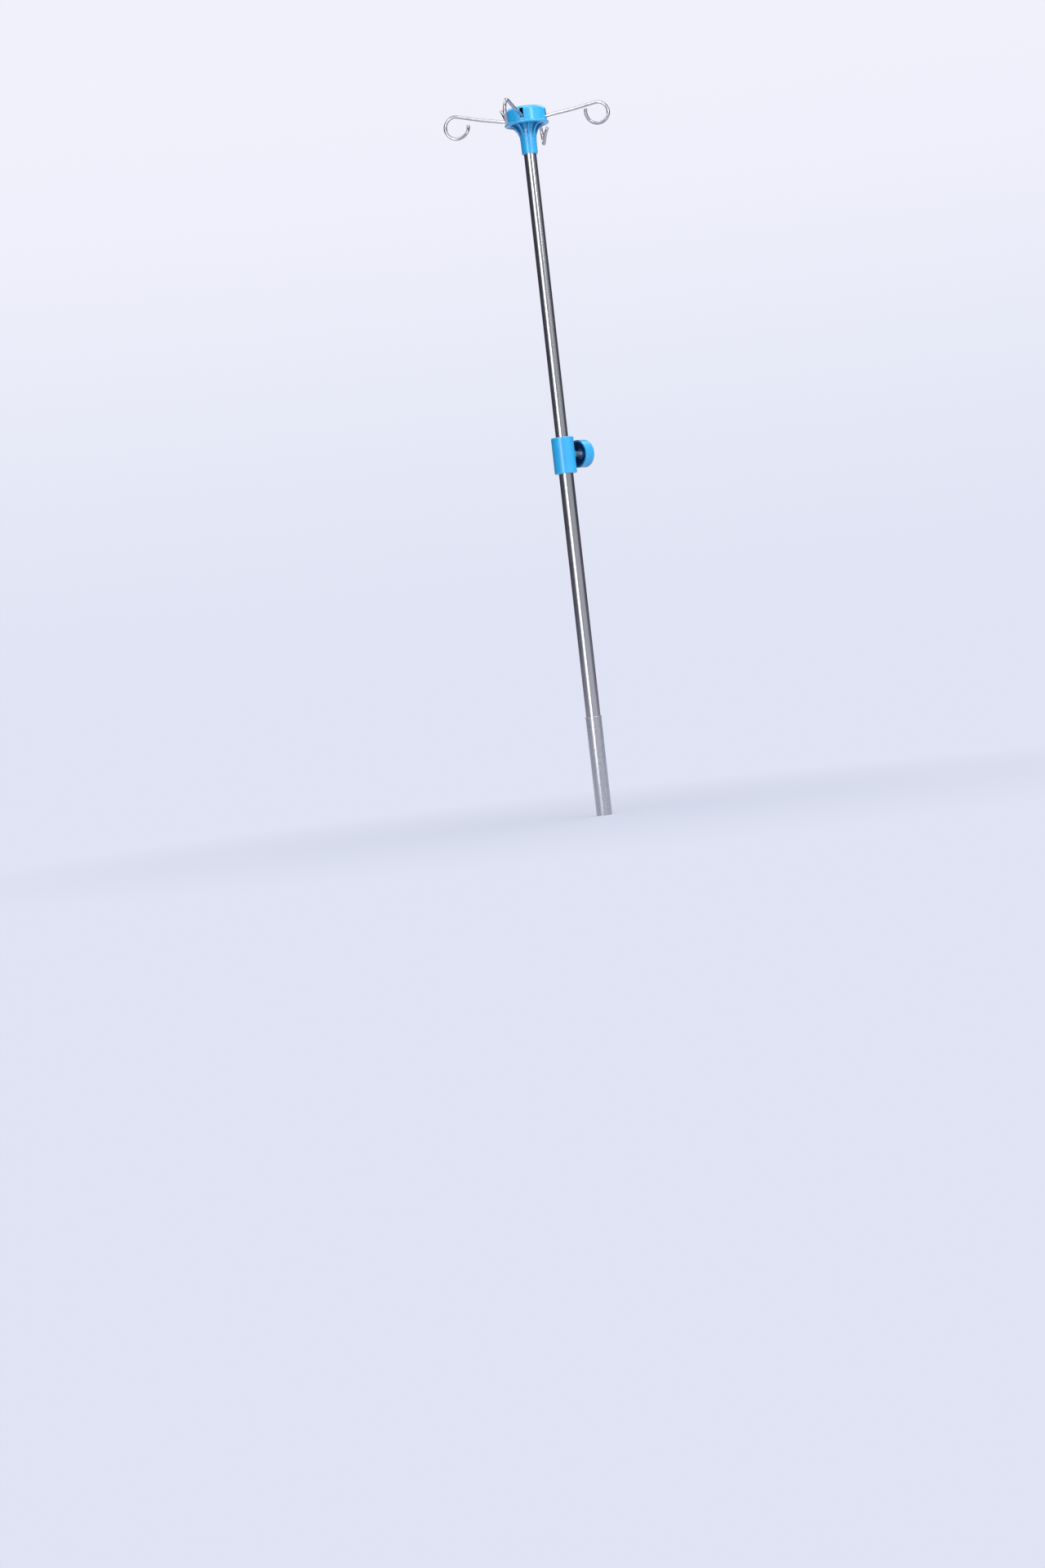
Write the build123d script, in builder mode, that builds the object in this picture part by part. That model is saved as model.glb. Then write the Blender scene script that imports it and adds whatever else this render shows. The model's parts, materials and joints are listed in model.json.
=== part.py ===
from build123d import *
import os
from math import cos, pi, radians, sin, tan

os.makedirs("parts", exist_ok=True)

# IV pole that plugs into a socket in a chair's armrest. Millimetres, +Z up along the pole,
# origin at the centre of the socket's bottom face. +X points along the right-hand hook.

# ---------------------------------------------------------------- driving dimensions
RUN = 0.08             # radial clearance of a running fit
PRESS = 0.03           # radial clearance of a pressed or glued fit
SEAT_GAP = 0.05        # gap between a piece and the other body's piece that it rests on
SCREW_GAP = 0.3        # clearance round a screw's head or shank
OVERLAP = 1.0          # how far a joined or cutting shape runs past the face it meets
PLUG_CHAMFER = 1.0     # on the edges of the nylon plug and bush
PLUG_WALL = 2.0        # of the nylon plug and bush inside their tube

LOWER_R = 11.0         # lower tube
LOWER_WALL = 1.0
UPPER_R = 9.5          # upper tube
UPPER_WALL = 1.0

SOCKET_R = 12.0        # socket sleeve in the armrest
SOCKET_FLOOR = 3.0
ARMREST_TOP = 150.0
LIP_R = 13.0
LIP_H = 1.2
LIP_EDGE = 0.7

FOOT_FLANGE = 3.0      # foot plug under the lower tube
FOOT_SPIGOT = 20.0

COLLAR_R = 17.0        # collar on top of the lower tube
COLLAR_BOTTOM = 522.5
COLLAR_TOP = 577.5
COLLAR_TOP_EDGE = 1.6
COLLAR_BOTTOM_EDGE = 1.0
LOWER_TOP = 560.0

CLAMP_Z = 551.5        # clamp screw, pad, insert and knob
CLAMP_ANGLE = 53.0     # from +X towards +Y
SCREW_R = 4.0
PAD_R = 3.8
PAD_LENGTH = 2.5
PAD_CHAMFER = 0.3
SCREW_CHAMFER = 0.6
HOLE_R = 4.5
BOSS_R = 7.0
BOSS_END = 20.0
BOSS_CHAMFER = 0.8
INSERT_R = 5.5
INSERT_START = 14.2
INSERT_CHAMFER = 0.4
KNOB_R = 21.0
KNOB_START = 27.0
KNOB_END = 45.0
KNOB_EDGE = 3.0
KNOB_WEB = 5.0
KNOB_RIM = 2.6
KNOB_BAND = 3.2
KNOB_FLUTES = 54
FLUTE_R = 0.65
FLUTE_DEPTH = 0.5
HUB_R = 8.0
HUB_SETBACK = 7.0      # from the rim's inner face to the hub that holds the nut
NUT_FLATS = 13.0
NUT_H = 5.0
KNOB_CAP_R = 12.0
KNOB_CAP_SEAT = 3.0    # below the knob's outer face
KNOB_CAP_PROUD = 1.0
KNOB_CAP_EDGE = 0.9

BUSH_BOTTOM = 458.0    # guide bush under the upper tube
BUSH_H = 20.0
BUSH_SPIGOT = 22.0

NECK_BOTTOM = 1008.0   # head
NECK_R = 12.0
NECK_TOP_R = 12.3
TUBE_IN_NECK = 32.0
FLANGE_UNDER = 1051.3
FLANGE_T = 3.9
FLANGE_R = 33.4
FLANGE_EDGE = 1.8
HEAD_HUB_R = 21.0      # the hub between the flange and the pivots
RIB_COUNT = 10
RIB_T = 2.0
RIB_REACH = 20.0
RIB_ARC_START = 93.0   # the rib's curve stops just short of upright under the flange
RIB_ROOT = 1.5         # how far a rib runs into the neck and the flange
RIB_DROP = 24.0
CORE_REACH = 10.0
CORE_DROP = 13.0
DRUM_R = 31.2
DRUM_TOP = 1077.5
DRUM_WALL = 2.5
DRUM_ROOF = 3.0
DRUM_EDGE = 6.0
DRUM_DRAFT = 0.5
DRUM_CROWN = 0.6       # how far the top rises to its middle
SLOT_W = 5.6
SLOT_TOP = 1073.2
SADDLE_GAP = 0.1       # between a saddle and the side of its slot
CAP_POST_R = 6.0       # post under the cap's roof, round the cap screw
CAP_SCREW_R = 2.5
CAP_SCREW_TIP = 1046.0
CAP_SCREW_HEAD_R = 4.75
CAP_SCREW_HEAD_H = 3.0
CAP_SCREW_SINK = 4.0
CAP_SCREW_EDGE = 1.4
CAP_SCREW_SOCKET = 3.2
KEEPER_SIDE = 8.0      # blocks under the cap's roof that keep the hooks' feet down
KEEPER_START = 7.0
KEEPER_INSET = 4.0
BEND_POCKET = 6.6

WIRE_R = 2.5           # hooks
PIVOT_U = 12.5
PIVOT_Z = 1058.3
FOOT_LENGTH = 13.0
FOOT_BEND = 5.0
ARM_RISE = 8.4
ARM_BEND_U = 70.0
OUTER_RISE = 11.4
LOOP_START_U = 107.2
LOOP_R = 16.3
LOOP_TURN = 297.0
LOOP_SHIFT = 15.3
LOOP_CREEP = 2.7       # how late in the turn the sideways shift comes
LOOP_STEPS = 24
LEAD_POINTS = 5        # straight points before the turn, so that the loop starts in line with the arm
SET_BEND_U = 38.0
SET_BEND_R = 30.0
ARM_BEND_R = 60.0
TIP_CHAMFER = 0.5

FIX_R = 2.0            # small fixing screws through the collar and the neck
FIX_HEAD_R = 3.6
FIX_HEAD_H = 2.2
FIX_HEAD_EDGE = 1.2
FIX_SOCKET = 2.5
SOCKET_DEPTH = 1.4
COLLAR_FIX_Z = 530.0
COLLAR_FIX_ANGLE = 140.0
COLLAR_FIX_TIP = 10.1
NECK_FIX_Z = 1022.0
NECK_FIX_ANGLE = 110.0
NECK_FIX_TIP = 6.5
NECK_FIX_SEAT = 11.4

# azimuth of each hook, and how far its arm has been bent up and to its left, in degrees
HOOKS = {
    "right": (0, -3.0, 2.5),
    "back": (90, -1.3, 2.0),
    "left": (180, 5.2, -4.0),
    "front": (270, -1.5, -3.0),
}

# ---------------------------------------------------------------- worked out from them
FLANGE_TOP = FLANGE_UNDER + FLANGE_T
TROUGH_R = WIRE_R + RUN
HUB_TOP = PIVOT_Z + TROUGH_R
TUBE_TOP = NECK_BOTTOM + TUBE_IN_NECK
FOOT_TOP = SOCKET_FLOOR + SEAT_GAP + FOOT_FLANGE
UPPER_BOTTOM = BUSH_BOTTOM + BUSH_H
LOWER_BORE_R = LOWER_R - LOWER_WALL
LOOP_STEP = LOOP_R * radians(LOOP_TURN) / LOOP_STEPS
UPPER_BORE_R = UPPER_R - UPPER_WALL
COLLAR_FIX_SEAT = COLLAR_R - FIX_HEAD_H - SCREW_GAP
CAP_SCREW_SEAT = DRUM_TOP - CAP_SCREW_SINK
KNOB_LENGTH = KNOB_END - KNOB_START
PAD_FACE = UPPER_R + SEAT_GAP
PAD_END = PAD_FACE + PAD_LENGTH
SCREW_START = PAD_END + SEAT_GAP
SCREW_END = KNOB_END - KNOB_CAP_SEAT


def radial_plane(angle, height, distance=0.0):
    """Plane that faces outwards along a radius of the pole, with its y axis up."""
    out = Vector(cos(radians(angle)), sin(radians(angle)), 0)
    side = Vector(-sin(radians(angle)), cos(radians(angle)), 0)
    return Plane(origin=out * distance + Vector(0, 0, height), x_dir=side, z_dir=out)


def outer_edges(piece, angle):
    """Edges of the face that lies farthest out along a radius of the pole."""
    outward = Axis((0, 0, 0), radial_plane(angle, 0).z_dir)
    return piece.faces().sort_by(outward)[-1].edges()


def finish(piece, name):
    """Label a finished piece and write it as parts/<name>.step."""
    piece.part.label = name
    export_step(piece.part, f"parts/{name}.step")


# ---------------------------------------------------------------- socket and foot
LINER_R = LOWER_R + RUN

with BuildPart() as socket_sleeve:
    Cylinder(SOCKET_R, ARMREST_TOP, align=(Align.CENTER, Align.CENTER, Align.MIN))
    with BuildSketch(Plane.XY.offset(ARMREST_TOP)):
        Circle(LIP_R)
    extrude(amount=LIP_H)
    fillet(socket_sleeve.edges().group_by(Axis.Z)[-1], LIP_EDGE)
    with BuildSketch(Plane.XY.offset(SOCKET_FLOOR)):
        Circle(LINER_R)
    extrude(amount=ARMREST_TOP, mode=Mode.SUBTRACT)
finish(socket_sleeve, "socket_sleeve")

with BuildPart() as foot_plug:
    with BuildSketch(Plane.XY.offset(SOCKET_FLOOR + SEAT_GAP)):
        Circle(LOWER_R)
    extrude(amount=FOOT_FLANGE)
    chamfer(foot_plug.edges().group_by(Axis.Z)[0], PLUG_CHAMFER)
    with BuildSketch(Plane.XY.offset(FOOT_TOP)):
        Circle(LOWER_BORE_R - RUN)
    extrude(amount=FOOT_SPIGOT)
    chamfer(foot_plug.edges().group_by(Axis.Z)[-1], PLUG_CHAMFER)
    with BuildSketch(Plane.XY.offset(FOOT_TOP)):
        Circle(LOWER_BORE_R - PLUG_WALL)
    extrude(amount=FOOT_SPIGOT, mode=Mode.SUBTRACT)
finish(foot_plug, "foot_plug")

# ---------------------------------------------------------------- tubes
with BuildPart() as lower_tube:
    with BuildSketch(Plane.XY.offset(FOOT_TOP + SEAT_GAP)):
        Circle(LOWER_R)
        Circle(LOWER_BORE_R, mode=Mode.SUBTRACT)
    extrude(amount=LOWER_TOP - FOOT_TOP - SEAT_GAP)
    with BuildSketch(radial_plane(CLAMP_ANGLE, CLAMP_Z)):
        Circle(HOLE_R)
    extrude(amount=2 * LOWER_R, mode=Mode.SUBTRACT)
    with BuildSketch(radial_plane(COLLAR_FIX_ANGLE, COLLAR_FIX_Z)):
        Circle(FIX_R)
    extrude(amount=2 * LOWER_R, mode=Mode.SUBTRACT)
finish(lower_tube, "lower_tube")

with BuildPart() as upper_tube:
    with BuildSketch(Plane.XY.offset(UPPER_BOTTOM + SEAT_GAP)):
        Circle(UPPER_R)
        Circle(UPPER_BORE_R, mode=Mode.SUBTRACT)
    extrude(amount=TUBE_TOP - UPPER_BOTTOM - SEAT_GAP)
    with BuildSketch(radial_plane(NECK_FIX_ANGLE, NECK_FIX_Z)):
        Circle(FIX_R)
    extrude(amount=2 * UPPER_R, mode=Mode.SUBTRACT)
finish(upper_tube, "upper_tube")

with BuildPart() as guide_bush:
    with BuildSketch(Plane.XY.offset(BUSH_BOTTOM)):
        Circle(LOWER_BORE_R - RUN)
    extrude(amount=BUSH_H)
    chamfer(guide_bush.edges().group_by(Axis.Z)[0], PLUG_CHAMFER)
    with BuildSketch(Plane.XY.offset(UPPER_BOTTOM)):
        Circle(UPPER_BORE_R - RUN)
    extrude(amount=BUSH_SPIGOT)
    chamfer(guide_bush.edges().group_by(Axis.Z)[-1], PLUG_CHAMFER)
    with BuildSketch(Plane.XY.offset(BUSH_BOTTOM)):
        Circle(UPPER_BORE_R - PLUG_WALL)
    extrude(amount=BUSH_H + BUSH_SPIGOT, mode=Mode.SUBTRACT)
finish(guide_bush, "guide_bush")

# ---------------------------------------------------------------- collar
with BuildPart() as collar_body:
    with BuildSketch(Plane.XY.offset(COLLAR_BOTTOM)):
        Circle(COLLAR_R)
    extrude(amount=COLLAR_TOP - COLLAR_BOTTOM)
    fillet(collar_body.edges().group_by(Axis.Z)[-1], COLLAR_TOP_EDGE)
    fillet(collar_body.edges().group_by(Axis.Z)[0], COLLAR_BOTTOM_EDGE)
    with BuildSketch(radial_plane(CLAMP_ANGLE, CLAMP_Z)):
        Circle(BOSS_R)
    extrude(amount=BOSS_END)
    chamfer(outer_edges(collar_body, CLAMP_ANGLE), BOSS_CHAMFER)
    with BuildSketch(Plane.XY.offset(COLLAR_BOTTOM)):
        Circle(LOWER_R + PRESS)
    extrude(amount=LOWER_TOP - COLLAR_BOTTOM, mode=Mode.SUBTRACT)
    with BuildSketch(Plane.XY.offset(LOWER_TOP)):
        Circle(UPPER_R + RUN)
    extrude(amount=COLLAR_TOP - LOWER_TOP, mode=Mode.SUBTRACT)
    with BuildSketch(radial_plane(CLAMP_ANGLE, CLAMP_Z)):
        Circle(HOLE_R)
    extrude(amount=BOSS_END, mode=Mode.SUBTRACT)
    with BuildSketch(radial_plane(CLAMP_ANGLE, CLAMP_Z, INSERT_START)):
        Circle(INSERT_R)
    extrude(amount=BOSS_END - INSERT_START, mode=Mode.SUBTRACT)
    with BuildSketch(radial_plane(COLLAR_FIX_ANGLE, COLLAR_FIX_Z)):
        Circle(FIX_R)
    extrude(amount=COLLAR_R, mode=Mode.SUBTRACT)
    with BuildSketch(radial_plane(COLLAR_FIX_ANGLE, COLLAR_FIX_Z, COLLAR_FIX_SEAT)):
        Circle(FIX_HEAD_R + SCREW_GAP)
    extrude(amount=COLLAR_R, mode=Mode.SUBTRACT)
finish(collar_body, "collar_body")

with BuildPart() as clamp_insert:
    with BuildSketch(radial_plane(CLAMP_ANGLE, CLAMP_Z, INSERT_START)):
        Circle(INSERT_R)
        Circle(SCREW_R + RUN, mode=Mode.SUBTRACT)
    extrude(amount=BOSS_END - INSERT_START)
    chamfer(clamp_insert.edges().filter_by(GeomType.CIRCLE).sort_by(SortBy.RADIUS)[-2:], INSERT_CHAMFER)
finish(clamp_insert, "clamp_insert")

# ---------------------------------------------------------------- clamp pad, screw and knob
with BuildPart() as clamp_pad:
    with BuildSketch(radial_plane(CLAMP_ANGLE, CLAMP_Z, PAD_FACE)):
        Circle(PAD_R)
    extrude(amount=PAD_LENGTH)
    chamfer(clamp_pad.edges().filter_by(GeomType.CIRCLE), PAD_CHAMFER)
finish(clamp_pad, "clamp_pad")

with BuildPart() as clamp_screw:
    with BuildSketch(radial_plane(CLAMP_ANGLE, CLAMP_Z, SCREW_START)):
        Circle(SCREW_R)
    extrude(amount=SCREW_END - SCREW_START)
    chamfer(clamp_screw.edges().filter_by(GeomType.CIRCLE), SCREW_CHAMFER)
finish(clamp_screw, "clamp_screw")

with BuildPart() as knob_body:
    with BuildSketch(radial_plane(CLAMP_ANGLE, CLAMP_Z, KNOB_START)):
        Circle(KNOB_R)
    extrude(amount=KNOB_LENGTH)
    fillet(outer_edges(knob_body, CLAMP_ANGLE), KNOB_EDGE)
    with BuildSketch(radial_plane(CLAMP_ANGLE, CLAMP_Z, KNOB_START + KNOB_BAND)):
        with PolarLocations(KNOB_R + FLUTE_R - FLUTE_DEPTH, KNOB_FLUTES):
            Circle(FLUTE_R)
    extrude(amount=KNOB_LENGTH, mode=Mode.SUBTRACT)
    with BuildSketch(radial_plane(CLAMP_ANGLE, CLAMP_Z, KNOB_START)):
        Circle(KNOB_R - KNOB_RIM)
    extrude(amount=HUB_SETBACK, mode=Mode.SUBTRACT)
    with BuildSketch(radial_plane(CLAMP_ANGLE, CLAMP_Z, KNOB_START + HUB_SETBACK)):
        Circle(KNOB_R - KNOB_RIM)
        Circle(HUB_R, mode=Mode.SUBTRACT)
    extrude(amount=KNOB_LENGTH - KNOB_WEB - HUB_SETBACK, mode=Mode.SUBTRACT)
    with BuildSketch(radial_plane(CLAMP_ANGLE, CLAMP_Z, KNOB_START)):
        Circle(SCREW_R + PRESS)
    extrude(amount=KNOB_LENGTH, mode=Mode.SUBTRACT)
    with BuildSketch(radial_plane(CLAMP_ANGLE, CLAMP_Z, SCREW_END - NUT_H)):
        RegularPolygon(NUT_FLATS / 2, 6, major_radius=False)
    extrude(amount=KNOB_LENGTH, mode=Mode.SUBTRACT)
    with BuildSketch(radial_plane(CLAMP_ANGLE, CLAMP_Z, SCREW_END)):
        Circle(KNOB_CAP_R + PRESS)
    extrude(amount=KNOB_LENGTH, mode=Mode.SUBTRACT)
finish(knob_body, "knob_body")

with BuildPart() as knob_nut:
    with BuildSketch(radial_plane(CLAMP_ANGLE, CLAMP_Z, SCREW_END - NUT_H)):
        RegularPolygon(NUT_FLATS / 2, 6, major_radius=False)
        Circle(SCREW_R + PRESS, mode=Mode.SUBTRACT)
    extrude(amount=NUT_H)
finish(knob_nut, "knob_nut")

with BuildPart() as knob_cap:
    with BuildSketch(radial_plane(CLAMP_ANGLE, CLAMP_Z, SCREW_END)):
        Circle(KNOB_CAP_R)
    extrude(amount=KNOB_CAP_SEAT + KNOB_CAP_PROUD)
    fillet(outer_edges(knob_cap, CLAMP_ANGLE), KNOB_CAP_EDGE)
finish(knob_cap, "knob_cap")


# ---------------------------------------------------------------- small fixing screws
def fixing_screw(angle, height, tip, head):
    """Button-head screw along a radius, from its tip to the seat of its head."""
    with BuildPart() as screw:
        with BuildSketch(radial_plane(angle, height, tip)):
            Circle(FIX_R - PRESS)
        extrude(amount=head - tip)
        with BuildSketch(radial_plane(angle, height, head)):
            Circle(FIX_HEAD_R)
        extrude(amount=FIX_HEAD_H)
        fillet(outer_edges(screw, angle), FIX_HEAD_EDGE)
        with BuildSketch(radial_plane(angle, height, head + FIX_HEAD_H)):
            RegularPolygon(FIX_SOCKET / 2, 6, major_radius=False)
        extrude(amount=-SOCKET_DEPTH, mode=Mode.SUBTRACT)
    return screw


collar_screw = fixing_screw(COLLAR_FIX_ANGLE, COLLAR_FIX_Z, COLLAR_FIX_TIP, COLLAR_FIX_SEAT)
finish(collar_screw, "collar_screw")
neck_screw = fixing_screw(NECK_FIX_ANGLE, NECK_FIX_Z, NECK_FIX_TIP, NECK_FIX_SEAT)
finish(neck_screw, "neck_screw")

# ---------------------------------------------------------------- head
def hook_plane(angle):
    """Level plane whose x axis points out along a hook; its y axis is the hook's left."""
    return Plane.XY.rotated((0, 0, angle))


def wire_height(u):
    """Height of a hook wire's centre line inside the head, at u from the pole's axis."""
    return PIVOT_Z + (u - PIVOT_U) * tan(radians(ARM_RISE))


def saddle_height(u):
    """Height of the slot floor under a hook wire, at u from the pole's axis."""
    return wire_height(u) - WIRE_R / cos(radians(ARM_RISE)) - SEAT_GAP


with BuildPart() as rib:
    with BuildSketch(Plane.XZ):
        with BuildLine():
            edge = EllipticalCenterArc(
                (NECK_TOP_R + RIB_REACH, FLANGE_UNDER - RIB_DROP),
                RIB_REACH,
                RIB_DROP,
                RIB_ARC_START,
                arc_size=180 - RIB_ARC_START,
            )
            Polyline(
                edge @ 0,
                ((edge @ 0).X, FLANGE_UNDER + RIB_ROOT),
                (NECK_TOP_R - RIB_ROOT, FLANGE_UNDER + RIB_ROOT),
                (NECK_TOP_R - RIB_ROOT, (edge @ 1).Y),
                edge @ 1,
            )
        make_face()
    extrude(amount=RIB_T / 2, both=True)

with BuildPart() as head_body:
    with BuildSketch(Plane.XZ):
        with BuildLine():
            core = EllipticalCenterArc(
                (NECK_TOP_R + CORE_REACH, FLANGE_UNDER - CORE_DROP), CORE_REACH, CORE_DROP, 90, arc_size=90
            )
            Polyline(
                core @ 0,
                (FLANGE_R, FLANGE_UNDER),
                (FLANGE_R, FLANGE_TOP),
                (HEAD_HUB_R, FLANGE_TOP),
                (HEAD_HUB_R, HUB_TOP),
                (0, HUB_TOP),
                (0, NECK_BOTTOM),
                (NECK_R, NECK_BOTTOM),
                core @ 1,
            )
        make_face()
    revolve(axis=Axis.Z)
    rim_edges = head_body.edges().filter_by(GeomType.CIRCLE).sort_by(SortBy.RADIUS)[-2:]
    fillet(rim_edges, FLANGE_EDGE)
    with PolarLocations(0, RIB_COUNT):
        add(rib.part)
    with BuildSketch(Plane.XY.offset(NECK_BOTTOM)):
        Circle(UPPER_R + PRESS)
    extrude(amount=TUBE_IN_NECK, mode=Mode.SUBTRACT)
    with BuildSketch(Plane.XY.offset(CAP_SCREW_TIP - OVERLAP)):
        Circle(CAP_SCREW_R)
    extrude(amount=HUB_TOP, mode=Mode.SUBTRACT)
    with BuildSketch(radial_plane(NECK_FIX_ANGLE, NECK_FIX_Z)):
        Circle(FIX_R)
    extrude(amount=2 * NECK_R, mode=Mode.SUBTRACT)
    with BuildSketch(radial_plane(NECK_FIX_ANGLE, NECK_FIX_Z, NECK_FIX_SEAT)):
        Circle(FIX_HEAD_R + SCREW_GAP)
    extrude(amount=NECK_R, mode=Mode.SUBTRACT)
    for angle, lift, sway in HOOKS.values():
        level = hook_plane(angle)
        # saddle that fills the bottom of the drum's slot and carries the wire
        with BuildSketch(level * Plane.XZ.offset(SADDLE_GAP - SLOT_W / 2)):
            Polygon(
                (HEAD_HUB_R - OVERLAP, FLANGE_TOP - OVERLAP),
                (DRUM_R, FLANGE_TOP - OVERLAP),
                (DRUM_R, saddle_height(DRUM_R)),
                (HEAD_HUB_R - OVERLAP, saddle_height(HEAD_HUB_R - OVERLAP)),
                align=None,
            )
        extrude(amount=SLOT_W - 2 * SADDLE_GAP)
        # channel for the wire across the hub
        with BuildSketch(level * Plane.XZ.offset(-SLOT_W / 2)):
            Polygon(
                (PIVOT_U, saddle_height(PIVOT_U)),
                (HEAD_HUB_R + OVERLAP, saddle_height(HEAD_HUB_R + OVERLAP)),
                (HEAD_HUB_R + OVERLAP, HUB_TOP + OVERLAP),
                (PIVOT_U, HUB_TOP + OVERLAP),
                align=None,
            )
        extrude(amount=SLOT_W, mode=Mode.SUBTRACT)
        # pocket for the bend, and the trough that the foot turns in
        with BuildSketch(level.offset(PIVOT_Z - TROUGH_R)):
            with Locations((PIVOT_U - TROUGH_R, SLOT_W / 2)):
                Rectangle(BEND_POCKET + TROUGH_R, BEND_POCKET + SLOT_W / 2, align=(Align.MIN, Align.MAX))
        extrude(amount=2 * TROUGH_R + OVERLAP, mode=Mode.SUBTRACT)
        trough_end = FOOT_LENGTH + SCREW_GAP
        with BuildSketch(level * Plane.XZ.offset(trough_end)):
            with Locations((PIVOT_U, PIVOT_Z)):
                Circle(TROUGH_R)
                Rectangle(2 * TROUGH_R, 2 * TROUGH_R, align=(Align.CENTER, Align.MIN))
        extrude(amount=-trough_end, mode=Mode.SUBTRACT)
finish(head_body, "head_body")

with BuildPart() as head_cap:
    with BuildSketch(Plane.XZ):
        Polygon(
            (0, FLANGE_TOP),
            (DRUM_R, FLANGE_TOP),
            (DRUM_R - DRUM_DRAFT, DRUM_TOP - DRUM_CROWN),
            (0, DRUM_TOP),
            align=None,
        )
    revolve(axis=Axis.Z)
    fillet(head_cap.edges().filter_by(GeomType.CIRCLE).group_by(Axis.Z)[-1], DRUM_EDGE)
    with BuildSketch(Plane.XY.offset(FLANGE_TOP)):
        Circle(DRUM_R - DRUM_WALL)
    extrude(amount=DRUM_TOP - DRUM_ROOF - FLANGE_TOP, mode=Mode.SUBTRACT)
    with BuildSketch(Plane.XY.offset(HUB_TOP)):
        Circle(CAP_POST_R)
    extrude(amount=DRUM_TOP - DRUM_ROOF - HUB_TOP)
    for angle, lift, sway in HOOKS.values():
        level = hook_plane(angle)
        with BuildSketch(level.offset(HUB_TOP)):
            with Locations((PIVOT_U - KEEPER_INSET, -KEEPER_START)):
                Rectangle(KEEPER_SIDE, KEEPER_SIDE, align=(Align.MIN, Align.MAX))
        extrude(amount=DRUM_TOP - DRUM_ROOF - HUB_TOP)
        with BuildSketch(level * Plane.XZ.offset(-SLOT_W / 2)):
            Polygon(
                (HEAD_HUB_R, FLANGE_TOP),
                (DRUM_R + OVERLAP, FLANGE_TOP),
                (DRUM_R + OVERLAP, SLOT_TOP),
                (HEAD_HUB_R, SLOT_TOP),
                align=None,
            )
        extrude(amount=SLOT_W, mode=Mode.SUBTRACT)
    with BuildSketch(Plane.XY.offset(FLANGE_TOP)):
        Circle(CAP_SCREW_R + SCREW_GAP)
    extrude(amount=DRUM_TOP, mode=Mode.SUBTRACT)
    with BuildSketch(Plane.XY.offset(CAP_SCREW_SEAT)):
        Circle(CAP_SCREW_HEAD_R + SCREW_GAP)
    extrude(amount=DRUM_TOP, mode=Mode.SUBTRACT)
finish(head_cap, "head_cap")

with BuildPart() as cap_screw:
    with BuildSketch(Plane.XY.offset(CAP_SCREW_TIP)):
        Circle(CAP_SCREW_R - PRESS)
    extrude(amount=CAP_SCREW_SEAT - CAP_SCREW_TIP)
    with BuildSketch(Plane.XY.offset(CAP_SCREW_SEAT)):
        Circle(CAP_SCREW_HEAD_R)
    extrude(amount=CAP_SCREW_HEAD_H)
    fillet(cap_screw.edges().group_by(Axis.Z)[-1], CAP_SCREW_EDGE)
    with BuildSketch(Plane.XY.offset(CAP_SCREW_SEAT + CAP_SCREW_HEAD_H)):
        RegularPolygon(CAP_SCREW_SOCKET / 2, 6, major_radius=False)
    extrude(amount=-SOCKET_DEPTH, mode=Mode.SUBTRACT)
finish(cap_screw, "cap_screw")


# ---------------------------------------------------------------- hooks
def arm_point(start, rise, u):
    """Point at u on a straight arm that leaves start at the given rise, in degrees."""
    return (u, 0, start[2] + (u - start[0]) * tan(radians(rise)))


def loop_point(start, rise, turn):
    """Point on the loop's centre line after it has turned down through turn degrees."""
    heading = radians(rise - turn)
    centre_u = start[0] + LOOP_R * sin(radians(rise))
    centre_z = start[2] - LOOP_R * cos(radians(rise))
    shift = LOOP_SHIFT * (turn / LOOP_TURN) ** LOOP_CREEP
    return (centre_u - LOOP_R * sin(heading), -shift, centre_z + LOOP_R * cos(heading))


def swayed(point, sway):
    """The point once the arm has been bent sideways by sway degrees at its set bend."""
    u, side, z = point
    reach = u - SET_BEND_U
    turn = radians(sway)
    return (SET_BEND_U + reach * cos(turn) - side * sin(turn), reach * sin(turn) + side * cos(turn), z)


def hook_wire(angle, lift, sway):
    """One hook: a foot across the head, an arm that rises outwards, and a pigtail loop."""
    corner = (PIVOT_U, 0, PIVOT_Z)
    set_bend = arm_point(corner, ARM_RISE, SET_BEND_U)
    arm_bend = arm_point(set_bend, ARM_RISE + lift, ARM_BEND_U)
    rise = OUTER_RISE + lift
    loop_start = arm_point(arm_bend, rise, LOOP_START_U)
    inner = [(PIVOT_U, -FOOT_LENGTH, PIVOT_Z), corner, set_bend]
    lead_in = [arm_point(arm_bend, rise, LOOP_START_U - LOOP_STEP * i) for i in range(LEAD_POINTS, 0, -1)]
    turned = [loop_point(loop_start, rise, LOOP_TURN * i / LOOP_STEPS) for i in range(LOOP_STEPS + 1)]
    outer = [swayed(point, sway) for point in (arm_bend, lead_in[0])]
    loop = [swayed(point, sway) for point in lead_in + turned]
    level = hook_plane(angle)
    with BuildPart() as hook:
        with BuildLine(level) as centre_line:
            FilletPolyline(*inner, *outer, radius=[FOOT_BEND, SET_BEND_R, ARM_BEND_R])
            Spline(*loop)
        path = centre_line.wire().order_edges()
        for run in path:
            with BuildSketch(Plane(origin=run @ 0, z_dir=run % 0)):
                Circle(WIRE_R)
            sweep(path=run)
        with BuildSketch(Plane(origin=path[-1] @ 1, z_dir=path[-1] % 1)):
            Circle(WIRE_R)
        extrude(amount=TIP_CHAMFER, taper=45)
    expected = sum(run.length for run in path) * pi * WIRE_R**2
    print(f"hook at {angle}: {hook.part.volume:.0f} mm3, section times length {expected:.0f}")
    return hook


for side, (angle, lift, sway) in HOOKS.items():
    finish(hook_wire(angle, lift, sway), f"hook_{side}")
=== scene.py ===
"""IV drip stand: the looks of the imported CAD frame, its studio and its camera.

Metres, +Z up along the pole.
"""

import json
import math

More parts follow.
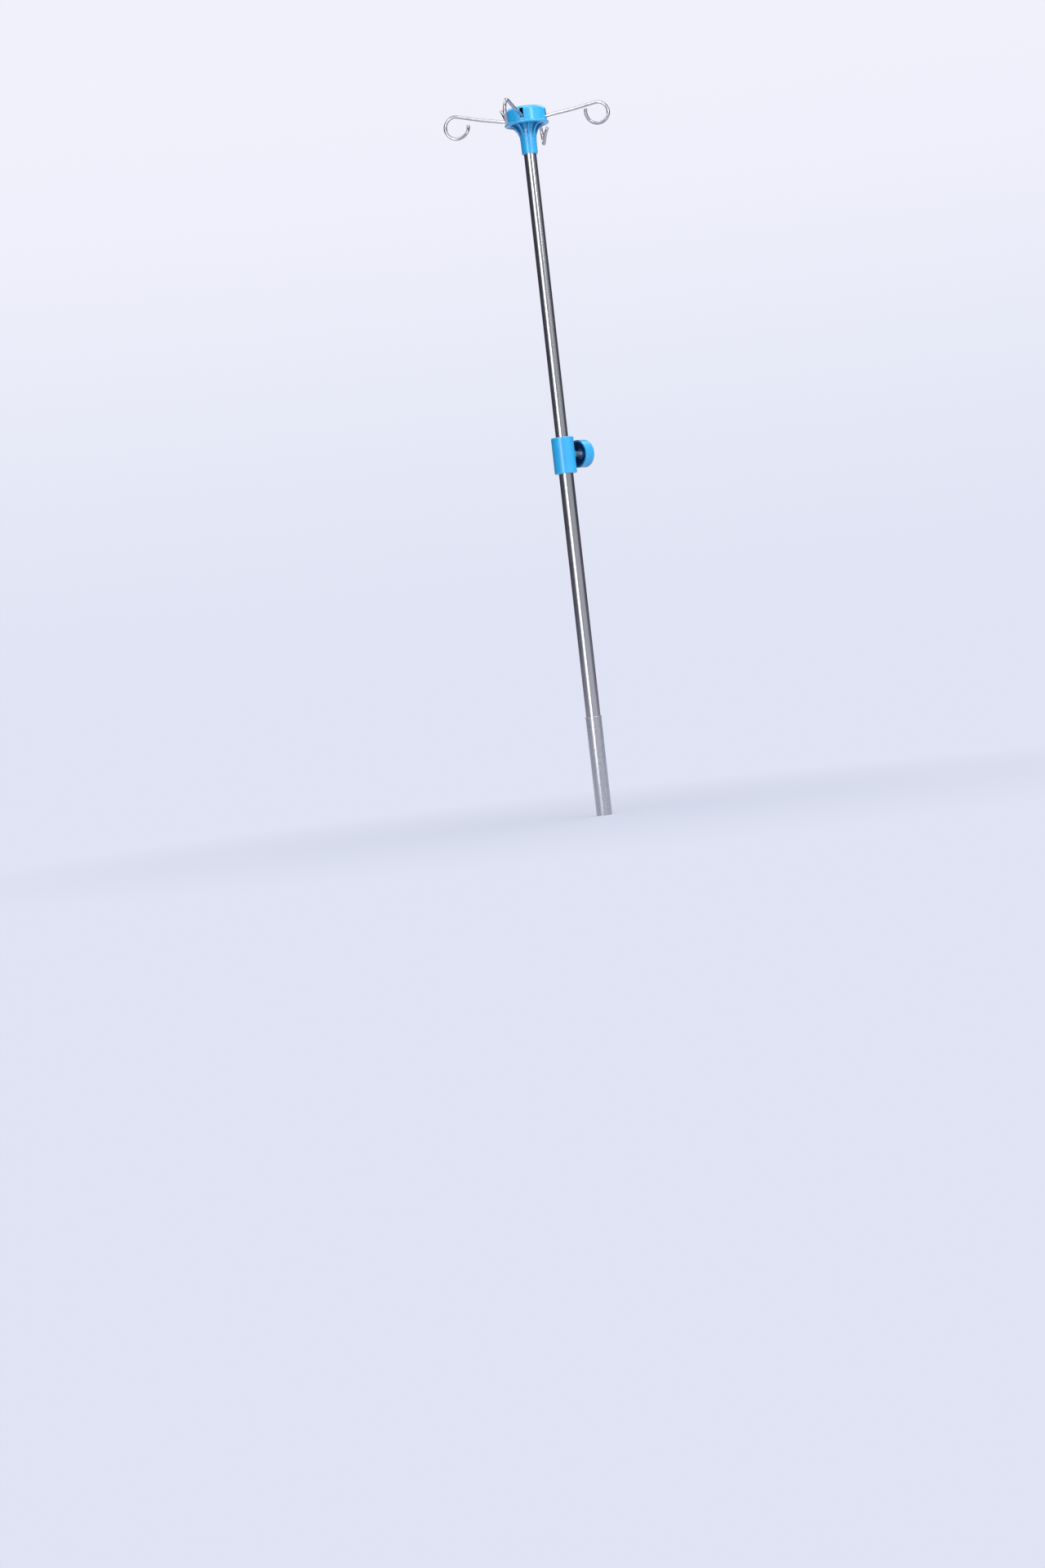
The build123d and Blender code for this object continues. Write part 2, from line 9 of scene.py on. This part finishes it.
import bpy
from mathutils import Matrix, Vector


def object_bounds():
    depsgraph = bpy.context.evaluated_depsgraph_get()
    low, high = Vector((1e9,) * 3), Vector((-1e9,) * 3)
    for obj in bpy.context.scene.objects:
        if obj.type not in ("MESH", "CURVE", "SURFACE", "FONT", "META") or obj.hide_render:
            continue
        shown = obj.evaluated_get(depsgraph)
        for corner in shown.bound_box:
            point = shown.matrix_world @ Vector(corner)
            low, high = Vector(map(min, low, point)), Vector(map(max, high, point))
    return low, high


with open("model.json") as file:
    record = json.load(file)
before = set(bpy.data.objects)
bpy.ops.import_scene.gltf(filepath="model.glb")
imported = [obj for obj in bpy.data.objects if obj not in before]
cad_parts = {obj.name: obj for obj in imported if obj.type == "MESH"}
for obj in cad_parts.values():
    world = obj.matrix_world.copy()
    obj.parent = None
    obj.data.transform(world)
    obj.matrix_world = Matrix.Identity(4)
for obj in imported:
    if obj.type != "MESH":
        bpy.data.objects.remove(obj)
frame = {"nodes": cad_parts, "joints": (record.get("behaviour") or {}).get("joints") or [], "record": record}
cad_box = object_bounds()
MM = 0.001

# ---------------------------------------------------------------- colours, in linear light
STEEL = (0.62, 0.62, 0.64, 1)
STEEL_SMEARED = (0.52, 0.52, 0.55, 1)
WIRE = (0.54, 0.52, 0.55, 1)
WIRE_DULL = (0.38, 0.36, 0.40, 1)
SLEEVE = (0.66, 0.66, 0.68, 1)
SLEEVE_DARK = (0.52, 0.52, 0.55, 1)
ZINC = (0.55, 0.56, 0.58, 1)
ZINC_DARK = (0.40, 0.41, 0.44, 1)
BRASS = (0.68, 0.45, 0.16, 1)
BRASS_DARK = (0.52, 0.32, 0.10, 1)
BLUE = (0.020, 0.355, 0.66, 1)
BLUE_DEEP = (0.012, 0.295, 0.59, 1)
# painted shade: the plastic's colour deep in hollows and slots
BLUE_PAINTED_SHADE = (0.002, 0.042, 0.18, 1)
BLUE_WORN = (0.14, 0.50, 0.82, 1)
NYLON = (0.72, 0.72, 0.68, 1)
NYLON_SCUFFED = (0.47, 0.47, 0.45, 1)
HORIZON = (0.74, 0.77, 0.90, 1)
ZENITH = (0.88, 0.88, 0.975, 1)
FLOOR = (0.42, 0.44, 0.51, 1)
SOFT_DARK = (0.03, 0.04, 0.08, 1)
SOFT_LIGHT = (1.85, 1.90, 1.98, 1)
MIRROR_DARK = (0.055, 0.055, 0.075, 1)
MIRROR_LIGHT = (0.75, 0.77, 0.85, 1)
PANEL_TONE = (0.92, 0.95, 1.0)
WHITE = (1, 1, 1)

# ---------------------------------------------------------------- sizes
THREAD_PITCH = 1.25 * MM
THREAD_DEPTH = 0.3 * MM
HOLLOW_REACH = 30 * MM    # how far the plastic looks for a wall whose shade is painted into its colour
EDGE_SHINE = 1.35         # how much brighter metal is on its edges


# ---------------------------------------------------------------- where the camera stands
CAMERA_AZIMUTH = 11.15    # where it stands, from the front towards +X, in degrees
CAMERA_DISTANCE = 4.6045  # from the pole's axis, on the level
CAMERA_HEIGHT = 0.206
CAMERA_PAN = 12.63        # where it looks
CAMERA_PITCH = -1.8
CAMERA_ROLL = 6.475
CAMERA_LENS = 69.4        # mm on a 36 mm long side


# ---------------------------------------------------------------- material helpers
class Graph:
    """A node material being built: one Principled shader and what feeds it."""

    def __init__(self, name):
        self.material = bpy.data.materials.new(name)
        self.material.use_nodes = True
        self.tree = self.material.node_tree
        self.shader = self.tree.nodes["Principled BSDF"]
        self.where = self.add("ShaderNodeTexCoord").outputs["Object"]

    def add(self, kind, **settings):
        node = self.tree.nodes.new(kind)
        for key, value in settings.items():
            setattr(node, key, value)
        return node

    def link(self, source, target):
        self.tree.links.new(source, target)

    def put(self, **values):
        """Set the shader's own sockets; a socket's name is written with underscores."""
        for key, value in values.items():
            self.shader.inputs[key.replace("_", " ")].default_value = value

    def stretched(self, scale):
        """Object coordinates multiplied by scale, for streaks and grain."""
        mapping = self.add("ShaderNodeMapping")
        mapping.inputs["Scale"].default_value = scale
        self.link(self.where, mapping.inputs["Vector"])
        return mapping.outputs["Vector"]

    def noise(self, scale, detail=3.0, roughness=0.5, where=None):
        node = self.add("ShaderNodeTexNoise")
        node.inputs["Scale"].default_value = scale
        node.inputs["Detail"].default_value = detail
        node.inputs["Roughness"].default_value = roughness
        self.link(where or self.where, node.inputs["Vector"])
        return node.outputs["Fac"]

    def remap(self, value, low, high, to_low, to_high):
        node = self.add("ShaderNodeMapRange")
        for key, number in zip(("From Min", "From Max", "To Min", "To Max"), (low, high, to_low, to_high)):
            node.inputs[key].default_value = number
        self.link(value, node.inputs["Value"])
        return node.outputs["Result"]

    def math(self, operation, a, b):
        node = self.add("ShaderNodeMath", operation=operation)
        for socket, value in zip(node.inputs, (a, b)):
            if isinstance(value, (int, float)):
                socket.default_value = value
            else:
                self.link(value, socket)
        return node.outputs["Value"]

    def blend(self, factor, first, second):
        """Mix two colours by factor; each is a colour or a socket."""
        node = self.add("ShaderNodeMix", data_type="RGBA")
        self.link(factor, node.inputs["Factor"])
        for socket, value in ((node.inputs[6], first), (node.inputs[7], second)):
            if isinstance(value, tuple):
                socket.default_value = value
            else:
                self.link(value, socket)
        return node.outputs[2]

    def bump(self, height, distance, strength=1.0, normal=None):
        node = self.add("ShaderNodeBump")
        node.inputs["Distance"].default_value = distance
        node.inputs["Strength"].default_value = strength
        self.link(height, node.inputs["Height"])
        if normal:
            self.link(normal, node.inputs["Normal"])
        return node.outputs["Normal"]

    def rounded(self, radius):
        """Normal of edges rounded to a radius."""
        node = self.add("ShaderNodeBevel", samples=6)
        node.inputs["Radius"].default_value = radius
        return node.outputs["Normal"]

    def painted_shade_mask(self, reach):
        """1 deep inside hollows and slots, 0 on open faces, for painting shade into the colour; reach is how
        far it looks for a wall.
        """
        node = self.add("ShaderNodeAmbientOcclusion", samples=12)
        node.inputs["Distance"].default_value = reach
        return self.remap(node.outputs["AO"], 0.7, 0.3, 0.0, 1.0)

    def edges(self, radius):
        """1 on edges and 0 on open faces, from how far rounding would turn the normal."""
        flat = self.add("ShaderNodeNewGeometry").outputs["Normal"]
        node = self.add("ShaderNodeVectorMath", operation="DOT_PRODUCT")
        self.link(self.rounded(radius), node.inputs[0])
        self.link(flat, node.inputs[1])
        return self.remap(node.outputs["Value"], 0.99, 0.8, 0.0, 1.0)


# ---------------------------------------------------------------- materials
def polished_tube():
    """Polished stainless tube: long faint smears, a few hairline scratches and a slightly wavy surface."""
    g = Graph("polished_tube")
    g.put(Metallic=1.0)
    smear = g.noise(1.0, 4.0, 0.6, g.stretched((90, 90, 9)))
    wave = g.noise(1.0, 1.0, 0.4, g.stretched((30, 30, 14)))
    hairline = g.remap(g.noise(1.0, 2.0, 0.7, g.stretched((1500, 1500, 25))), 0.62, 0.72, 0.0, 1.0)
    g.link(g.blend(g.remap(smear, 0.35, 0.7, 0, 1), STEEL, STEEL_SMEARED), g.shader.inputs["Base Color"])
    gloss = g.math("ADD", g.remap(smear, 0.35, 0.75, 0.16, 0.26), g.math("MULTIPLY", hairline, 0.05))
    g.link(gloss, g.shader.inputs["Roughness"])
    g.link(g.bump(wave, 0.02 * MM), g.shader.inputs["Normal"])
    return g.material


def polished_wire():
    """Polished stainless wire with dull patches from handling."""
    g = Graph("polished_wire")
    g.put(Metallic=1.0)
    smear = g.noise(120, 4.0, 0.6)
    wave = g.noise(60, 1.0, 0.4)
    grain = g.noise(1500, 2.0, 0.6)
    g.link(g.blend(g.remap(smear, 0.35, 0.7, 0, 1), WIRE, WIRE_DULL), g.shader.inputs["Base Color"])
    gloss = g.math("ADD", g.remap(smear, 0.3, 0.75, 0.1, 0.2), g.remap(grain, 0.4, 0.7, 0.0, 0.04))
    g.link(gloss, g.shader.inputs["Roughness"])
    g.link(g.bump(wave, 0.02 * MM), g.shader.inputs["Normal"])
    return g.material


def turned_metal(name, colour, dark, gloss, pitch=None):
    """Machined or plated metal with turning grain, brighter on its edges; pitch adds a screw thread."""
    g = Graph(name)
    g.put(Metallic=1.0)
    grain = g.noise(1.0, 3.0, 0.6, g.stretched((900, 900, 3500)))
    blotch = g.noise(300, 3.0, 0.5)
    tone = g.blend(g.remap(blotch, 0.3, 0.7, 0, 1), colour, dark)
    bright = tuple(min(1.0, c * EDGE_SHINE) for c in colour[:3]) + (1,)
    g.link(g.blend(g.edges(0.25 * MM), tone, bright), g.shader.inputs["Base Color"])
    g.link(g.remap(grain, 0.3, 0.7, gloss - 0.06, gloss + 0.08), g.shader.inputs["Roughness"])
    skin = g.bump(grain, 0.01 * MM, normal=g.rounded(0.2 * MM))
    if pitch:
        along = g.add("ShaderNodeVectorMath", operation="DOT_PRODUCT")
        g.link(g.where, along.inputs[0])
        along.inputs[1].default_value = next(j["axis"] for j in frame["joints"] if j["name"] == "knob_turn")
        wave = g.math("SINE", g.math("MULTIPLY", along.outputs["Value"], 2 * math.pi / pitch), 0)
        skin = g.bump(wave, THREAD_DEPTH, normal=skin)
    g.link(skin, g.shader.inputs["Normal"])
    return g.material


def moulded_plastic():
    """Glossy sky-blue moulding: flow marks, orange peel, rubbed edges, scratches, and painted shade in
    hollows.
    """
    g = Graph("moulded_plastic")
    g.put(Coat_Weight=0.5, Coat_Roughness=0.12, IOR=1.5, Subsurface_Weight=0.1, Subsurface_Scale=1.5 * MM)
    g.put(Subsurface_Radius=(0.15, 0.6, 1.0))
    flow = g.noise(1.0, 4.0, 0.55, g.stretched((45, 45, 22)))
    peel = g.noise(700, 2.0, 0.5)
    scratch = g.noise(1.0, 2.0, 0.7, g.stretched((420, 420, 3800)))
    marks = g.remap(scratch, 0.68, 0.76, 0.0, 1.0)
    open_face = g.blend(g.remap(flow, 0.3, 0.7, 0, 1), BLUE, BLUE_DEEP)
    # painted shade: the colour turns dark navy deep in hollows and slots, by an ambient occlusion node
    # rather than by light
    tone = g.blend(g.painted_shade_mask(HOLLOW_REACH), open_face, BLUE_PAINTED_SHADE)
    rubbed = g.math("MULTIPLY", g.edges(0.5 * MM), g.remap(g.noise(260, 3.0, 0.6), 0.3, 0.7, 0.2, 0.6))
    g.link(g.blend(rubbed, tone, BLUE_WORN), g.shader.inputs["Base Color"])
    gloss = g.math("ADD", g.remap(flow, 0.3, 0.7, 0.26, 0.36), g.math("MULTIPLY", marks, 0.08))
    g.link(gloss, g.shader.inputs["Roughness"])
    skin = g.bump(peel, 0.012 * MM, normal=g.rounded(0.45 * MM))
    g.link(g.bump(marks, -0.008 * MM, normal=skin), g.shader.inputs["Normal"])
    return g.material


def natural_nylon():
    """Natural white nylon, satin and slightly translucent, with scuff marks along it."""
    g = Graph("natural_nylon")
    g.put(Subsurface_Weight=0.25, Subsurface_Scale=2 * MM, IOR=1.53)
    scuff = g.noise(1.0, 3.0, 0.6, g.stretched((500, 500, 40)))
    g.link(g.blend(g.remap(scuff, 0.4, 0.75, 0, 1), NYLON, NYLON_SCUFFED), g.shader.inputs["Base Color"])
    g.link(g.remap(scuff, 0.3, 0.7, 0.38, 0.55), g.shader.inputs["Roughness"])
    g.link(g.bump(scuff, 0.02 * MM, normal=g.rounded(0.3 * MM)), g.shader.inputs["Normal"])
    return g.material


def dress_cad():
    """Give every CAD node the material of its slot; the clamp screw also has its thread."""
    looks = {
        "stainless_tube": polished_tube(),
        "stainless_wire": polished_wire(),
        "blue_plastic": moulded_plastic(),
        "nylon": natural_nylon(),
        "socket_steel": turned_metal("turned_sleeve", SLEEVE, SLEEVE_DARK, 0.24),
        "screw_steel": turned_metal("zinc_plate", ZINC, ZINC_DARK, 0.30),
        "brass_insert": turned_metal("turned_brass", BRASS, BRASS_DARK, 0.25),
    }
    threaded = turned_metal("threaded_zinc", ZINC, ZINC_DARK, 0.30, pitch=THREAD_PITCH)
    for part in frame["record"]["subparts"]:
        look = threaded if part["node"] == "clamp_screw" else looks[part["material_slot"]]
        for held in frame["nodes"][part["node"]].material_slots:
            held.material = look


# ---------------------------------------------------------------- studio
FLOOR_RADIUS = 8.0
SHADOW_CORE = 0.15   # within this the floor catches the most light and shadow
SHADOW_REACH = 1.1   # past this it is a plain backdrop
SHADOW_SHARE = 0.55  # of the floor's look, next to the stand
LIT_TURN = 55        # the lit side of the room, in degrees to the right of the camera
LIT_RISE = 0.7       # and how far up it is, for each metre outwards
BACKDROP_TOP = 0.21  # the slant at which the backdrop is palest
LIGHT_HEIGHT = 1.25  # of the lights beside the camera


def studio_floor():
    """Pale floor: evenly bright like the backdrop, and near the stand it also catches light and shadow."""
    bpy.ops.mesh.primitive_circle_add(vertices=96, radius=FLOOR_RADIUS, fill_type="NGON")
    floor = bpy.context.object
    floor.name = "studio_floor"
    floor.location.z = cad_box[0].z
    g = Graph("studio_floor")
    g.put(Roughness=0.7, Base_Color=FLOOR)
    g.shader.inputs["Specular IOR Level"].default_value = 0.1
    glow = g.add("ShaderNodeEmission")
    glow.inputs["Color"].default_value = HORIZON
    reach = g.add("ShaderNodeVectorMath", operation="LENGTH")
    g.link(g.where, reach.inputs[0])
    share = g.remap(reach.outputs["Value"], SHADOW_CORE, SHADOW_REACH, SHADOW_SHARE, 0.0)
    mix = g.add("ShaderNodeMixShader")
    g.link(share, mix.inputs[0])
    g.link(glow.outputs[0], mix.inputs[1])
    g.link(g.shader.outputs[0], mix.inputs[2])
    g.link(mix.outputs[0], g.tree.nodes["Material Output"].inputs["Surface"])
    floor.data.materials.append(g.material)


def studio_world():
    """Backdrop that pales upwards. Mirrors see a dark room with a pale ceiling; soft light has a side."""
    world = bpy.data.worlds.new("studio_world")
    bpy.context.scene.world = world
    world.use_nodes = True
    nodes, links = world.node_tree.nodes, world.node_tree.links
    nodes.clear()
    output = nodes.new("ShaderNodeOutputWorld")
    path = nodes.new("ShaderNodeLightPath")
    place = nodes.new("ShaderNodeTexCoord")

    def band(low, high, bottom, top, towards=(0, 0, 1)):
        """Background whose colour runs from bottom to top along a direction, between two cosines to it."""
        slant = nodes.new("ShaderNodeVectorMath")
        slant.operation = "DOT_PRODUCT"
        links.new(place.outputs["Generated"], slant.inputs[0])
        slant.inputs[1].default_value = towards
        ramp = nodes.new("ShaderNodeMapRange")
        ramp.interpolation_type = "SMOOTHSTEP"
        ramp.inputs["From Min"].default_value = low
        ramp.inputs["From Max"].default_value = high
        links.new(slant.outputs["Value"], ramp.inputs["Value"])
        colour = nodes.new("ShaderNodeMix")
        colour.data_type = "RGBA"
        links.new(ramp.outputs["Result"], colour.inputs["Factor"])
        colour.inputs[6].default_value = bottom
        colour.inputs[7].default_value = top
        glow = nodes.new("ShaderNodeBackground")
        links.new(colour.outputs[2], glow.inputs["Color"])
        return glow.outputs[0]

    def choose(ray, otherwise, chosen):
        mix = nodes.new("ShaderNodeMixShader")
        links.new(path.outputs[ray], mix.inputs[0])
        links.new(otherwise, mix.inputs[1])
        links.new(chosen, mix.inputs[2])
        return mix.outputs[0]

    turn = math.radians(CAMERA_AZIMUTH + LIT_TURN)
    lit_side = Vector((math.sin(turn), -math.cos(turn), LIT_RISE)).normalized()
    soft = band(-0.45, 1.0, SOFT_DARK, SOFT_LIGHT, towards=lit_side)
    mirrored = band(0.35, 0.8, MIRROR_DARK, MIRROR_LIGHT)
    backdrop = band(0.0, BACKDROP_TOP, HORIZON, ZENITH)
    seen = choose("Is Camera Ray", choose("Is Glossy Ray", soft, mirrored), backdrop)
    links.new(seen, output.inputs["Surface"])


def softbox(name, azimuth, distance, height, size, brightness, tone=WHITE, aim_height=None, diffuse=True):
    """Softbox turned to the pole. Azimuth 0 is in front, along -Y, and grows towards +X."""
    lamp = bpy.data.lights.new(name, "AREA")
    lamp.shape = "RECTANGLE"
    lamp.size, lamp.size_y = size
    lamp.energy = math.pi * size[0] * size[1] * brightness
    lamp.color = tone
    held = bpy.data.objects.new(name, lamp)
    bpy.context.collection.objects.link(held)
    turn = math.radians(azimuth)
    held.location = (distance * math.sin(turn), -distance * math.cos(turn), height)
    aim = Vector((0, 0, height if aim_height is None else aim_height)) - Vector(held.location)
    held.rotation_euler = aim.to_track_quat("-Z", "Y").to_euler()
    held.visible_camera = False
    held.visible_diffuse = diffuse


def studio_lights():
    """Key box and its bright core left of the camera, dim panel and kicker right of it, back and top."""
    front = CAMERA_AZIMUTH
    softbox("key_core", front - 23, 1.55, LIGHT_HEIGHT, size=(0.3, 2.3), brightness=5.5, diffuse=False)
    softbox("key_box", front - 26, 1.7, LIGHT_HEIGHT, size=(1.3, 2.3), brightness=1.0)
    softbox("fill_panel", front + 41, 2.2, LIGHT_HEIGHT, size=(3.3, 2.3), brightness=0.36, tone=PANEL_TONE)
    softbox("kicker", front + 34, 2.4, height=1.85, size=(0.55, 1.1), brightness=6.0, aim_height=1.0)
    for name, side in (("back_left", -140), ("back_right", 140)):
        softbox(name, front + side, 2.0, height=2.35, size=(0.9, 1.2), brightness=2.2, aim_height=0.7)
    softbox("top_panel", front + 10, 0.5, height=2.6, size=(1.3, 1.3), brightness=1.6, aim_height=0.9)


# ---------------------------------------------------------------- camera
def photograph_camera():
    data = bpy.data.cameras.new("photograph_camera")
    camera = bpy.data.objects.new("photograph_camera", data)
    bpy.context.collection.objects.link(camera)
    data.sensor_width = 36
    data.lens = CAMERA_LENS
    stand = math.radians(CAMERA_AZIMUTH)
    camera.location = (CAMERA_DISTANCE * math.sin(stand), -CAMERA_DISTANCE * math.cos(stand), CAMERA_HEIGHT)
    pan, pitch, roll = (math.radians(v) for v in (CAMERA_PAN, CAMERA_PITCH, CAMERA_ROLL))
    level = Matrix.Rotation(pan, 4, "Z") @ Matrix.Rotation(math.pi / 2 + pitch, 4, "X")
    camera.rotation_euler = (level @ Matrix.Rotation(-roll, 4, "Z")).to_euler()
    bpy.context.scene.camera = camera


dress_cad()
studio_world()
studio_floor()
studio_lights()
photograph_camera()
bpy.context.scene.view_settings.view_transform = "Standard"
